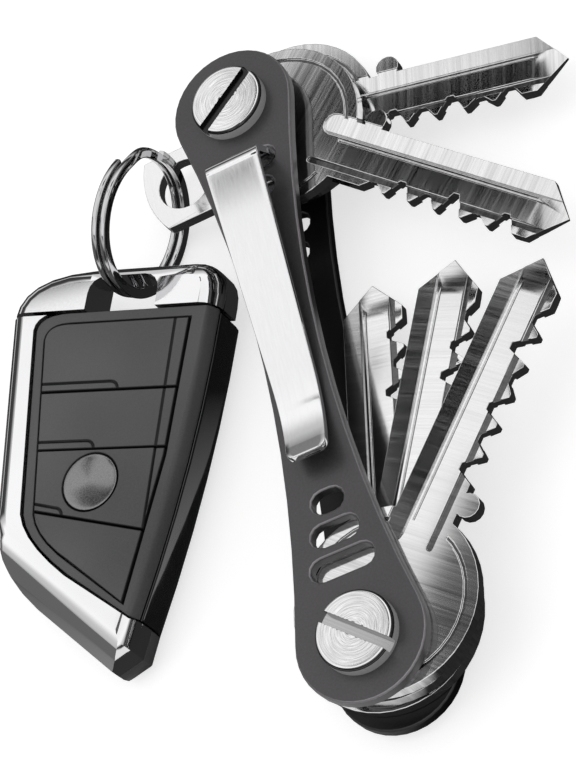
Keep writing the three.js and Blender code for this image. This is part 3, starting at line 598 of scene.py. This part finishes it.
class HOLDER_OT_stage(bpy.types.Operator):
    """Adds the pale floor, the soft lights, the white surroundings, the cards and the camera."""
    bl_idname = "holder.stage"
    bl_label = "Stage"

    # The photograph's camera: the rows of its turn, its place, its lens and sensor in millimetres,
    # and how near and far it sees
    CAMERA_ROWS = (
        (0.877985, 0.389315, 0.278525),
        (-0.197998, 0.825099, -0.529159),
        (-0.43582, 0.409446, 0.801508),
    )
    CAMERA_PLACE = (0.105647, -0.207513, 0.321326)
    CAMERA_LENS = 137.31
    CAMERA_SENSOR = 36.0
    CAMERA_REACH = (0.01, 100.0)
    # Lamps: place, width and power
    LAMPS = {
        "key_light": ((-0.16, 0.02, 0.62), 0.42, 0.62),
        "side_light": ((-0.55, -0.25, 0.30), 0.40, 0.40),
        "fill_light": ((0.50, 0.10, 0.40), 0.35, 0.25),
    }
    ROOM_LIGHT = 0.62
    FLOOR_SIZE = 8.0
    FLOOR_GAP = 0.05 * MM
    FLOOR_PAPER = 0.55
    FLOOR_GLOW = 0.66
    # What the metal sees of the floor, by distance from its middle, and of the room, by height
    FLOOR_SHADES = ((0.0, 0.02), (0.09, 0.03), (0.16, 0.30), (0.5, 0.65))
    ROOM_SHADES = ((0.0, 0.75), (0.10, 0.04), (0.30, 0.05), (0.46, 0.55), (0.66, 1.0), (0.95, 0.92))
    # The floor's paler front: its direction, where it starts and is full, and its level
    FRONT_WAY = (0.667, 1.0, 0.0)
    FRONT_START = -0.052
    FRONT_FULL = -0.057
    FRONT_LEVEL = 0.8
    # Heights of a card's near and far sides, in millimetres
    OVERHEAD = (310, 310)
    CLOSE = (100, 100)
    OVER_FOB = (40, 40)
    ON_FLOOR = (-1.9, -1.9)
    STANDING = (-1.9, 115)
    # Cards: heights, brightness, and each corner's X and Y in millimetres with its cover
    CARDS = (
        # The keys' spines and tips
        (OVERHEAD, 0, ((-90, 236, 1), (-35, 205, 1), (-90, 295, 1), (-35, 295, 1))),
        (OVERHEAD, 0, ((-35, 205, 1), (30, 205, 1), (-35, 295, 1), (30, 295, 1))),
        (OVERHEAD, 0, ((-42, 70, 1), (18, 70, 1), (-42, 140, 1), (18, 140, 1))),
        (OVERHEAD, 0, ((-42, 140, 1), (18, 140, 1), (-24, 190, 1), (5, 190, 1))),
        # The front bow, up to the side of its blade
        (CLOSE, 0.10, ((-21.5, -20, 1), (4, -20, 1), (-21.5, 3.6, 1), (-4, 23.9, 1))),
        (CLOSE, 0.10, ((-21.5, 3.6, 1), (-4, 23.9, 1), (-21.5, 10.5, 0), (-4, 30.8, 0))),
        (CLOSE, 0.10, ((-36, -20, 1), (-21.5, -20, 1), (-36, -6, 1), (-21.5, -3, 1))),
        # The clip's crest
        (CLOSE, 0, ((-31, 56.5, 0), (-19.5, 56.5, 0), (-31, 65.5, 0.75), (-19.5, 65.5, 0.75))),
        # The fob's cap, slanted roll and tip
        (OVERHEAD, 0, ((-200, 261, 0), (-155, 251.5, 0), (-200, 268, 1), (-155, 258.5, 0.8))),
        (OVERHEAD, 0, ((-200, 268, 1), (-155, 258.5, 0.8), (-200, 290, 1), (-155, 280, 0.8))),
        (ON_FLOOR, 0.09, ((-300, -45, 0.72), (-55, -45, 0.72), (-300, 0, 1), (-55, 0, 1))),
        (ON_FLOOR, 0.09, ((-300, 0, 1), (-55, 0, 1), (-300, 30, 1), (-55, 30, 1))),
        (STANDING, 0.13, ((-300, -120, 1), (-300, 120, 1), (-300, -120, 1), (-300, 120, 1))),
        (ON_FLOOR, 0.03, ((-46, -45, 1), (-26, -45, 1), (-46, -30, 1), (-26, -30, 1))),
        # The fob's domed disc: its lower half and a wedge at its top
        (OVER_FOB, 0.18, ((-53, 9.4, 1), (-47, 0.6, 1), (-56.5, 19.5, 1), (-47, 14.5, 1))),
        (OVER_FOB, 0.18, ((-47, 0.6, 1), (-34, 0.6, 1), (-47, 14.5, 1), (-34, 8, 1))),
        (OVER_FOB, 0.18, ((-50.5, 24, 1), (-49, 24, 1), (-52, 40, 1), (-45, 36, 1))),
        # The fob's gloss side
        (ON_FLOOR, 1, ((-26, -25, 1), (-22.5, -26.5, 1), (-13.8, 8, 0), (-10.3, 6.5, 0))),
    )

    def execute(self, context):
        self.floor()
        self.surroundings(context.scene)
        for name, lamp in self.LAMPS.items():
            self.lamp(name, *lamp)
        for number, card in enumerate(self.CARDS):
            self.card(f"card_{number + 1}", *card)
        self.camera(context.scene)
        context.scene.view_settings.view_transform = "Standard"
        return {"FINISHED"}

    def floor(self):
        """Glowing paper to the camera, paper to the light, and a toned floor to the metal."""
        begin()
        bpy.ops.mesh.primitive_plane_add(
            size=self.FLOOR_SIZE, location=(0, 0, FLOOR_Z - self.FLOOR_GAP))
        floor = named("floor")
        made = bpy.data.materials.new("pale_floor")
        floor.data.materials.append(made)
        tree = bare_tree(made)
        rays = add_node(tree, "ShaderNodeLightPath").outputs
        paper = add_node(tree, "ShaderNodeBsdfDiffuse", {"Color": grey(self.FLOOR_PAPER)})
        level = add_node(
            tree, "ShaderNodeMath", {1: self.FLOOR_GLOW}, {0: rays["Is Camera Ray"]},
            operation="MULTIPLY")
        glow = add_node(tree, "ShaderNodeEmission", links={"Strength": level.outputs[0]})
        lit = add_node(tree, "ShaderNodeAddShader", links={0: paper.outputs[0], 1: glow.outputs[0]})
        place = add_node(tree, "ShaderNodeTexCoord").outputs["Object"]
        reach = add_node(tree, "ShaderNodeVectorMath", links={0: place}, operation="LENGTH")
        shade = stepped(tree, reach.outputs["Value"], self.FLOOR_SHADES)
        toward = add_node(
            tree, "ShaderNodeVectorMath", {1: self.FRONT_WAY}, {0: place}, operation="DOT_PRODUCT")
        front = add_node(
            tree, "ShaderNodeMapRange",
            {"From Min": self.FRONT_START, "From Max": self.FRONT_FULL, "To Max": self.FRONT_LEVEL},
            {"Value": toward.outputs["Value"]})
        lighter = add_node(
            tree, "ShaderNodeMath", links={0: shade, 1: front.outputs["Result"]},
            operation="MAXIMUM")
        mirrored = add_node(tree, "ShaderNodeEmission", links={"Color": lighter.outputs[0]})
        seen = either(tree, rays["Is Glossy Ray"], lit, mirrored)
        add_node(tree, "ShaderNodeOutputMaterial", links={"Surface": seen.outputs[0]})

    def surroundings(self, scene):
        """White to the camera, a room of bands to the metal, even light to the rest."""
        scene.world = bpy.data.worlds.new("studio")
        tree = bare_tree(scene.world)
        rays = add_node(tree, "ShaderNodeLightPath").outputs
        place = add_node(tree, "ShaderNodeTexCoord").outputs["Generated"]
        height = add_node(tree, "ShaderNodeSeparateXYZ", links={0: place}).outputs["Z"]
        even = add_node(
            tree, "ShaderNodeBackground", {"Color": grey(1), "Strength": self.ROOM_LIGHT})
        room = add_node(
            tree, "ShaderNodeBackground",
            links={"Color": stepped(tree, height, self.ROOM_SHADES)})
        white = add_node(tree, "ShaderNodeBackground", {"Color": grey(1)})
        light = either(tree, rays["Is Glossy Ray"], even, room)
        seen = either(tree, rays["Is Camera Ray"], light, white)
        add_node(tree, "ShaderNodeOutputWorld", links={"Surface": seen.outputs[0]})

    def lamp(self, name, place, size, power):
        """A soft lamp turned to the holder, hidden from reflections."""
        begin()
        bpy.ops.object.light_add(type="AREA", location=place)
        lamp = named(name)
        lamp.data.size = size
        lamp.data.energy = power
        lamp.rotation_euler = (-Vector(place)).to_track_quat("-Z", "Y").to_euler()
        lamp.visible_glossy = False

    def card(self, name, heights, level, corners):
        """A lying or standing card that only reflections see, soft where its cover runs out."""
        begin()
        bpy.ops.mesh.primitive_plane_add(size=1)
        card = named(name)
        cover = card.data.attributes.new("cover", "FLOAT", "POINT")
        near, far = heights
        for vertex, value, z, (x, y, share) in zip(
                card.data.vertices, cover.data, (near, near, far, far), corners):
            vertex.co = Vector((x, y, z)) * MM
            value.value = share
        card.visible_camera = False
        card.visible_diffuse = False
        card.visible_shadow = False
        made = bpy.data.materials.new(name)
        card.data.materials.append(made)
        tree = bare_tree(made)
        share = add_node(tree, "ShaderNodeAttribute", attribute_name="cover").outputs["Fac"]
        clear = add_node(tree, "ShaderNodeBsdfTransparent")
        tone = add_node(tree, "ShaderNodeEmission", {"Strength": level})
        seen = either(tree, share, clear, tone)
        add_node(tree, "ShaderNodeOutputMaterial", links={"Surface": seen.outputs[0]})

    def camera(self, scene):
        begin()
        bpy.ops.object.camera_add(location=self.CAMERA_PLACE)
        camera = named("camera")
        turn = Matrix(self.CAMERA_ROWS).to_4x4()
        camera.matrix_world = Matrix.Translation(self.CAMERA_PLACE) @ turn
        camera.data.lens = self.CAMERA_LENS
        camera.data.sensor_width = self.CAMERA_SENSOR
        camera.data.clip_start, camera.data.clip_end = self.CAMERA_REACH
        scene.camera = camera


class HOLDER_OT_plates(bpy.types.Operator):
    """Rounds and finishes the two waisted plates."""
    bl_idname = "holder.plates"
    bl_label = "Plates"

    # Each plate's tint of the anodising: the back plate is the same anodising darkened, a painted shade
    PLATE_PAINTED_SHADES = {"front_plate": 1.0, "back_plate": 0.21}
    # The chamfers are the anodising made lighter, a painted highlight along the plates' edges
    CHAMFER_PAINTED_HIGHLIGHT = 2.6
    # A chamfer's normals lean between these, along Z
    CHAMFER_LEAN = (0.4, 0.9)

    def execute(self, context):
        low, high = self.CHAMFER_LEAN
        for node, shade in self.PLATE_PAINTED_SHADES.items():
            piece = copy_of(node)
            soften(piece, sizes().plate_round)
            tone = tint(colours().anodised, shade)
            paint(piece, anodised_finish(node + "_anodised", tone))
            paint(piece, anodised_finish(node + "_chamfer_painted_highlight", tint(tone, self.CHAMFER_PAINTED_HIGHLIGHT)),
                  lambda c, n: low < abs(n.z) < high)
            hand_over(piece, "holder", node)
        return {"FINISHED"}


class HOLDER_OT_fasteners(bpy.types.Operator):
    """Models the slotted screws with turned heads, and finishes the posts and spacers."""
    bl_idname = "holder.fasteners"
    bl_label = "Screws, posts and spacers"

    # Each slot's turn in degrees
    DRIVES = {"top": 37.9, "bottom": -42.5}
    SPACERS = ("bottom_spacer_front", "bottom_spacer_rear", "top_spacer")
    SPACER_ROUGH = (0.42, 0.55)
    RINGS = 7
    RIM_SEGMENTS = 6
    HEAD_VERTICES = 128
    SHANK_VERTICES = 48
    SMOOTH_ANGLE = 28
    # The slot's cutter is this much longer than the head is wide
    CUTTER_OVER = 1.5
    # How much of a normal lies along Z: more on a top, less on the rim, its dark line and the wall
    TOP_LEAN = 0.9
    RIM_LEAN = 0.99
    LINE_LEAN = 0.8
    WALL_LEAN = 0.1
    SLOT_WALL_LEAN = 0.3
    # The dark line under the rim and the slot's walls: steel darkened, a painted shade
    PAINTED_DARK_SHADE = 0.08
    # The head's side wall: a flat pale grey, a painted reflection
    WALL_PAINTED_REFLECTION = 0.38
    WALL_ROUGH = (0.3, 0.45)
    # The slot's floor: steel darkened, a painted shade in the recess
    SLOT_PAINTED_SHADE = 0.52

    def execute(self, context):
        size = sizes()
        for end, y in (("top", TOP_Y), ("bottom", BOTTOM_Y)):
            turned = turned_finish("turned_" + end, colours().turned, y)
            screw = self.screw(end, y, size)
            paint(screw, turned)
            self.finish_head(screw, end, y, size)
            hand_over(screw, "holder", end + "_screw")
            post = copy_of(end + "_post")
            soften(post, size.edge_round)
            paint(post, turned)
            hand_over(post, "holder", end + "_post")
        nylon = moulded_finish("nylon", colours().nylon, self.SPACER_ROUGH)
        for node in self.SPACERS:
            piece = copy_of(node)
            soften(piece, size.edge_round)
            paint(piece, nylon)
            hand_over(piece, "holder", node)
        return {"FINISHED"}

    def screw(self, end, y, size):
        """A head with a rounded rim and turned rings, a shank, and a driving slot."""
        low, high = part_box(end + "_screw")
        piece = cylinder(end + "_screw_dressed", HEAD_RADIUS, FRONT_Z, high.z, y, self.HEAD_VERTICES)
        open_faces(piece, lambda c, n: n.z > self.TOP_LEAN)
        bpy.ops.mesh.bevel(offset=size.head_round, segments=self.RIM_SEGMENTS, affect="EDGES")
        close()
        open_faces(piece, lambda c, n: n.z > self.RIM_LEAN and c.z > high.z - MERGE)
        step = size.ring_pitch / 2
        for ring in range(self.RINGS):
            for move in (-1, 1):
                bpy.ops.mesh.inset(thickness=step)
                bpy.ops.transform.translate(value=(0, 0, move * size.ring_depth))
        close()
        shank = cylinder("shank", size.shank_radius, low.z, FRONT_Z + step, y, self.SHANK_VERTICES)
        combine(piece, shank, "UNION")
        begin()
        bpy.ops.mesh.primitive_cube_add(size=1, location=(0, y, high.z))
        drive = named("drive")
        drive.scale = (2 * HEAD_RADIUS * self.CUTTER_OVER, size.drive_width, 2 * size.drive_depth)
        drive.rotation_euler = (0, 0, math.radians(self.DRIVES[end]))
        settle(drive)
        combine(piece, drive, "DIFFERENCE")
        smooth(piece, self.SMOOTH_ANGLE)
        return piece

    def finish_head(self, screw, end, y, size):
        """A bright rim over a dark line and a pale wall, and a milled slot between dark walls; the dark
        line, the slot's walls and its darker floor are painted shade, the wall's grey a painted
        reflection.
        """
        steel = colours().turned
        rim = HEAD_RADIUS - size.head_round
        half_deep = HEAD_HIGH.z - size.drive_depth / 2

        def outside(c):
            return c.z > FRONT_Z and math.hypot(c.x, c.y - y) > rim

        def inside(c):
            return c.z > FRONT_Z + MERGE and math.hypot(c.x, c.y - y) < rim

        bright = chrome_finish("rim_" + end, steel)
        dark = chrome_finish("painted_shade_" + end, tint(steel, self.PAINTED_DARK_SHADE))
        wall = moulded_finish("wall_" + end, tint(steel, self.WALL_PAINTED_REFLECTION), self.WALL_ROUGH)
        slot = slot_finish("slot_" + end, tint(steel, self.SLOT_PAINTED_SHADE), y, self.DRIVES[end])
        paint(screw, bright, lambda c, n: outside(c) and n.z < self.RIM_LEAN)
        paint(screw, dark, lambda c, n: outside(c) and n.z < self.LINE_LEAN)
        paint(screw, wall, lambda c, n: outside(c) and n.z < self.WALL_LEAN)
        paint(screw, dark, lambda c, n: inside(c) and abs(n.z) < self.SLOT_WALL_LEAN)
        paint(screw, slot, lambda c, n: inside(c) and c.z < half_deep and n.z > self.TOP_LEAN)


class HOLDER_OT_keys(bpy.types.Operator):
    """Rounds the five keys and brushes them across their length."""
    bl_idname = "holder.keys"
    bl_label = "Keys"

    ROUND_ANGLE = 25
    FACE_LEAN = 0.9
    WALL_LEAN = 0.35
    STEP = 0.05 * MM
    # The blade across its width: spine groove, hairline, and flank groove
    SPINE_RIGHT = -1.4 * MM
    HAIRLINE_RIGHT = 0.0
    FLANK_LEFT = 2.2 * MM
    FLANK_RIGHT = 3.4 * MM
    # Each zone's shade, contrast of brushing, and roughness; the hairline and the flank groove are
    # darkened steel, painted shade in the grooves
    ZONES = {
        "face": (1.0, 0.10, (0.08, 0.13)),
        "spine": (1.0, 0.25, (0.10, 0.15)),
        "hairline": (0.2, 0.1, (0.2, 0.3)),
        "flank": (0.18, 0.3, (0.15, 0.25)),
        "wall": (0.9, 0.1, (0.08, 0.14)),
    }

    def execute(self, context):
        for node, place in KEYS.items():
            piece = copy_of(node)
            soften(piece, sizes().plate_round, angle=self.ROUND_ANGLE)
            self.finish(piece, node, *place)
            hand_over(piece, node, node)
        return {"FINISHED"}

    def finish(self, piece, node, y, turn):
        """Paints the zones, each over the ones before it."""
        low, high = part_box(node)
        centre = Vector((0, y, 0))
        to_key = Matrix.Rotation(math.radians(turn), 3, "Z")

        def milled(c, n):
            return abs(n.z) > self.FACE_LEAN and low.z + self.STEP < c.z < high.z - self.STEP

        def across(c):
            return (to_key @ (c - centre)).x

        tests = {
            "face": None,
            "spine": milled,
            "hairline": lambda c, n: milled(c, n) and self.SPINE_RIGHT < across(c) < self.HAIRLINE_RIGHT,
            "flank": lambda c, n: milled(c, n) and self.FLANK_LEFT < across(c) < self.FLANK_RIGHT,
            "wall": lambda c, n: abs(n.z) < self.WALL_LEAN,
        }
        for zone, (shade, contrast, rough) in self.ZONES.items():
            steel = tint(colours().key_steel, shade)
            finish = brushed_finish(f"{node}_{zone}", steel, centre, turn, contrast, rough)
            paint(piece, finish, tests[zone])


class HOLDER_OT_clip(bpy.types.Operator):
    """Bends the polished pocket clip from one strip."""
    bl_idname = "holder.clip"
    bl_label = "Pocket clip"

    # Corners of the strip's middle line as Y and Z, and how far each bend reaches, in millimetres
    CORNERS = ((48.4, 10.65), (31.9, 10.65), (31.9, 14.1), (29.6, 18.6), (-9.8, 13.9), (-17.2, 16.3))
    BENDS = (0, 1.0, 1.4, 1.4, 5.6, 0)
    CREST = 3
    BEND_STEPS = 12
    RUN_STEPS = 10
    ACROSS = 8
    # Radii of the eye round the post, its hole and the tip's corners, and the least half width
    EYE = 6.0
    HOLE = 3.3
    CORNER = 1.2
    LEAST_HALF = 0.2
    HOLE_VERTICES = 64
    ROUND_SEGMENTS = 3
    ROUND_ANGLE = 40
    ROUGH = (0.05, 0.12)

    def line(self):
        """The strip's middle line with its corners bent round."""
        corners = [Vector(c) for c in self.CORNERS]
        out = [corners[0]]
        for i in range(1, len(corners) - 1):
            into = (corners[i] - corners[i - 1]).normalized()
            onward = (corners[i + 1] - corners[i]).normalized()
            start = corners[i] - into * self.BENDS[i]
            end = corners[i] + onward * self.BENDS[i]
            out += [out[-1].lerp(start, k / self.RUN_STEPS) for k in range(1, self.RUN_STEPS)]
            for k in range(self.BEND_STEPS + 1):
                t = k / self.BEND_STEPS
                out.append(start.lerp(corners[i], t).lerp(corners[i].lerp(end, t), t))
        last = corners[-1]
        out += [out[-1].lerp(last, k / self.RUN_STEPS) for k in range(1, self.RUN_STEPS + 1)]
        return out

    def half_width(self, y, size):
        """Half of the strip's width at a place along it, in millimetres."""
        post = TOP_Y / MM
        wide = size.clip_wide / MM / 2
        narrow = size.clip_tip_wide / MM / 2
        crest, tip = self.CORNERS[self.CREST][0], self.CORNERS[-1][0]
        if y > post:
            return math.sqrt(max(self.EYE ** 2 - (y - post) ** 2, self.LEAST_HALF ** 2))
        if y > post - self.EYE:
            return wide + (self.EYE - wide) * (y - post + self.EYE) / self.EYE
        if y > crest:
            return wide
        width = narrow + (wide - narrow) * (y - tip) / (crest - tip)
        short = self.CORNER - (y - tip)
        if short > 0:
            width -= self.CORNER - math.sqrt(max(self.CORNER ** 2 - short ** 2, 0))
        return width

    def execute(self, context):
        size = sizes()
        line = self.line()
        last = len(line) - 1
        begin()
        bpy.ops.mesh.primitive_grid_add(x_subdivisions=self.ACROSS, y_subdivisions=last, size=1)
        piece = named("pocket_clip_dressed")
        for vertex in piece.data.vertices:
            y, z = line[last - round((vertex.co.y + 0.5) * last)]
            vertex.co = (vertex.co.x * 2 * self.half_width(y, size) * MM, y * MM, z * MM)
        modified(piece, "SOLIDIFY", thickness=size.clip_thick, offset=0, use_even_offset=True)
        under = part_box("pocket_clip")[0].z - MM
        hole = cylinder("hole", self.HOLE * MM, under, FRONT_Z, TOP_Y, self.HOLE_VERTICES)
        combine(piece, hole, "DIFFERENCE")
        soften(piece, size.strip_round, self.ROUND_SEGMENTS, self.ROUND_ANGLE)
        paint(piece, drawn_finish("polished", colours().polished, self.ROUGH))
        hand_over(piece, "clip", "pocket_clip")
        return {"FINISHED"}


class HOLDER_OT_rings(bpy.types.Operator):
    """Winds the split ring and finishes the loop that it hangs from."""
    bl_idname = "holder.rings"
    bl_label = "Split ring and loop"

    LOOP_ROUGH = (0.10, 0.18)
    # The ring's chrome darkened, a painted shade standing in for its dark reflections
    RING_PAINTED_SHADE = 0.7
    TURNS = 2
    # Half of the crossing's reach and its place round the ring, in radians
    CROSS = 0.42
    CROSS_AT = 2.5
    # The ring's bearing in degrees, and its middle in millimetres
    BEARING = 237.2
    PLACE = (-18.606, 33.718, 8.75)
    ROUND_SEGMENTS = 3
    SMOOTH_ANGLE = 50

    def execute(self, context):
        size = sizes()
        loop = copy_of("ring_loop")
        soften(loop, size.strip_round)
        paint(loop, drawn_finish("loop_steel", colours().turned, self.LOOP_ROUGH))
        hand_over(loop, "loop", "ring_loop")
        ring = self.strand(size)
        self.wind(ring, size)
        paint(ring, chrome_finish("ring_chrome", tint(colours().chrome, self.RING_PAINTED_SHADE)))
        hand_over(ring, "ring", "split_ring")
        return {"FINISHED"}

    def strand(self, size):
        """A straight strand of unit length with rounded edges, cut into steps."""
        begin()
        bpy.ops.mesh.primitive_cube_add(size=1)
        strand = named("split_ring_dressed")
        strand.scale = (1, size.coil_axial, size.coil_radial)
        settle(strand)
        open_all(strand)
        bpy.ops.mesh.bevel(offset=size.coil_round, segments=self.ROUND_SEGMENTS, affect="EDGES")
        close()
        for vertex in strand.data.vertices:
            vertex.co.x = 0.5 if vertex.co.x > 0 else -0.5
        open_all(strand)
        bpy.ops.mesh.remove_doubles(threshold=MERGE)
        steps = self.TURNS * size.coil_steps
        for cut in range(1, steps):
            bpy.ops.mesh.select_all(action="SELECT")
            bpy.ops.mesh.bisect(plane_co=(cut / steps - 0.5, 0, 0), plane_no=(1, 0, 0))
        close()
        return strand

    def wind(self, strand, size):
        """Two turns side by side, with a short crossing."""
        full = 2 * math.pi
        bearing = math.radians(self.BEARING)
        along = Vector((math.cos(bearing), math.sin(bearing), 0))
        up = Vector((0, 0, 1))
        axis = along.cross(up)
        centre = Vector(self.PLACE) * MM
        for vertex in strand.data.vertices:
            share, across, deep = vertex.co
            angle = self.CROSS + (share + 0.5) * (self.TURNS * full - 2 * self.CROSS)
            t = min(1, max(0, (angle - full + self.CROSS) / (2 * self.CROSS)))
            offset = (t * t * (3 - 2 * t) - 0.5) * size.coil_pitch + across
            radius = size.coil_mean + deep
            turn = angle + self.CROSS_AT
            vertex.co = (centre + along * radius * math.cos(turn)
                         + up * radius * math.sin(turn) + axis * offset)
        open_all(strand)
        bpy.ops.mesh.normals_make_consistent(inside=False)
        close()
        bpy.ops.object.shade_smooth_by_angle(angle=math.radians(self.SMOOTH_ANGLE))


class HOLDER_OT_fob(bpy.types.Operator):
    """Rounds and finishes the fob's housing, buttons and inner pieces."""
    bl_idname = "holder.fob"
    bl_label = "Fob"

    # The fob's turn in degrees
    TURN = -22.6
    # Each outer piece: its body and its finish's slot
    OUTSIDE = {
        "fob_frame": ("fob", "chrome"),
        "fob_top_cap": ("fob", "chrome"),
        "fob_front_cover": ("fob", "fob_plastic"),
        "fob_back_shell": ("fob", "fob_plastic"),
        "fob_side_panel": ("fob", "fob_gloss"),
        "fob_button_1": ("button_1", "fob_plastic"),
        "fob_button_2": ("button_2", "fob_plastic"),
        "fob_button_3": ("button_3", "fob_plastic"),
        "fob_button_4": ("button_4", "fob_plastic"),
        "fob_button_disc": ("button_3", "fob_plastic"),
    }
    DISC = "fob_button_disc"
    CHROME_ANGLE = 24
    PLASTIC_ANGLE = 36
    PLASTIC_ROUGH = (0.38, 0.48)
    # A button's dark seam, painted shade in the gap round it: its shade, roughness, depth, and its
    # normals along Z
    SEAM_PAINTED_SHADE = 0.12
    SEAM_ROUGH = (0.5, 0.6)
    SEAM_DEPTH = 0.12 * MM
    SEAM_LEAN = 0.95
    BOARD_ROUGH = (0.4, 0.5)
    BOARD_GRAIN = 900
    CELL_CONTRAST = 0.15
    CELL_ROUGH = (0.2, 0.3)

    def execute(self, context):
        tone = colours()
        finishes = {
            "chrome": chrome_finish("fob_chrome", tone.chrome),
            "fob_plastic": moulded_finish("fob_plastic", tone.plastic, self.PLASTIC_ROUGH),
            "fob_gloss": gloss_finish("fob_gloss", tone.gloss),
        }
        disc = spun_finish("fob_disc", tone.disc, middle(self.DISC))
        seam = moulded_finish("fob_seam_painted_shade", tint(tone.plastic, self.SEAM_PAINTED_SHADE), self.SEAM_ROUGH)
        for node, (body, slot) in self.OUTSIDE.items():
            piece = copy_of(node)
            if slot == "chrome":
                smooth(piece, self.CHROME_ANGLE)
            else:
                soften(piece, sizes().fob_round, angle=self.PLASTIC_ANGLE)
            paint(piece, disc if node == self.DISC else finishes[slot])
            # A button's sides and the faces below its top are painted dark, a painted shade in the gap
            # round it
            if body != "fob" and node != self.DISC:
                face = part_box(node)[1].z - self.SEAM_DEPTH
                paint(piece, seam, lambda c, n: c.z < face or n.z < self.SEAM_LEAN)
            hand_over(piece, body, node)
        self.finish_inside(tone)
        return {"FINISHED"}

    def finish_inside(self, tone):
        """Gives the board and the cell their finishes, on the CAD's own meshes."""
        board = moulded_finish("fob_board", tone.board, self.BOARD_ROUGH, self.BOARD_GRAIN)
        cell = brushed_finish(
            "fob_cell", tone.cell, (0, 0, 0), self.TURN, self.CELL_CONTRAST, self.CELL_ROUGH)
        for node, finish in (("fob_circuit_board", board), ("fob_coin_cell", cell)):
            inside = frame["nodes"][node]
            inside.data.materials.clear()
            inside.data.materials.append(finish)


class HOLDER_PT_panel(bpy.types.Panel):
    """Lists the pieces in the 3D view's sidebar."""
    bl_idname = "HOLDER_PT_panel"
    bl_label = "Key holder"
    bl_space_type = "VIEW_3D"
    bl_region_type = "UI"
    bl_category = "Key holder"

    def draw(self, context):
        for operator in OPERATORS:
            self.layout.operator(operator.bl_idname)


OPERATORS = (
    HOLDER_OT_stage,
    HOLDER_OT_plates,
    HOLDER_OT_fasteners,
    HOLDER_OT_keys,
    HOLDER_OT_clip,
    HOLDER_OT_rings,
    HOLDER_OT_fob,
)
CLASSES = (HolderSizes, HolderColours, *OPERATORS, HOLDER_PT_panel)


def register():
    for made in CLASSES:
        bpy.utils.register_class(made)
    bpy.types.Scene.holder_sizes = PointerProperty(type=HolderSizes)
    bpy.types.Scene.holder_colours = PointerProperty(type=HolderColours)


def unregister():
    del bpy.types.Scene.holder_colours
    del bpy.types.Scene.holder_sizes
    for made in reversed(CLASSES):
        bpy.utils.unregister_class(made)


def main():
    register()
    bpy.ops.holder.stage()
    bpy.ops.holder.plates()
    bpy.ops.holder.fasteners()
    bpy.ops.holder.keys()
    bpy.ops.holder.clip()
    bpy.ops.holder.rings()
    bpy.ops.holder.fob()


if __name__ == "__main__":
    main()
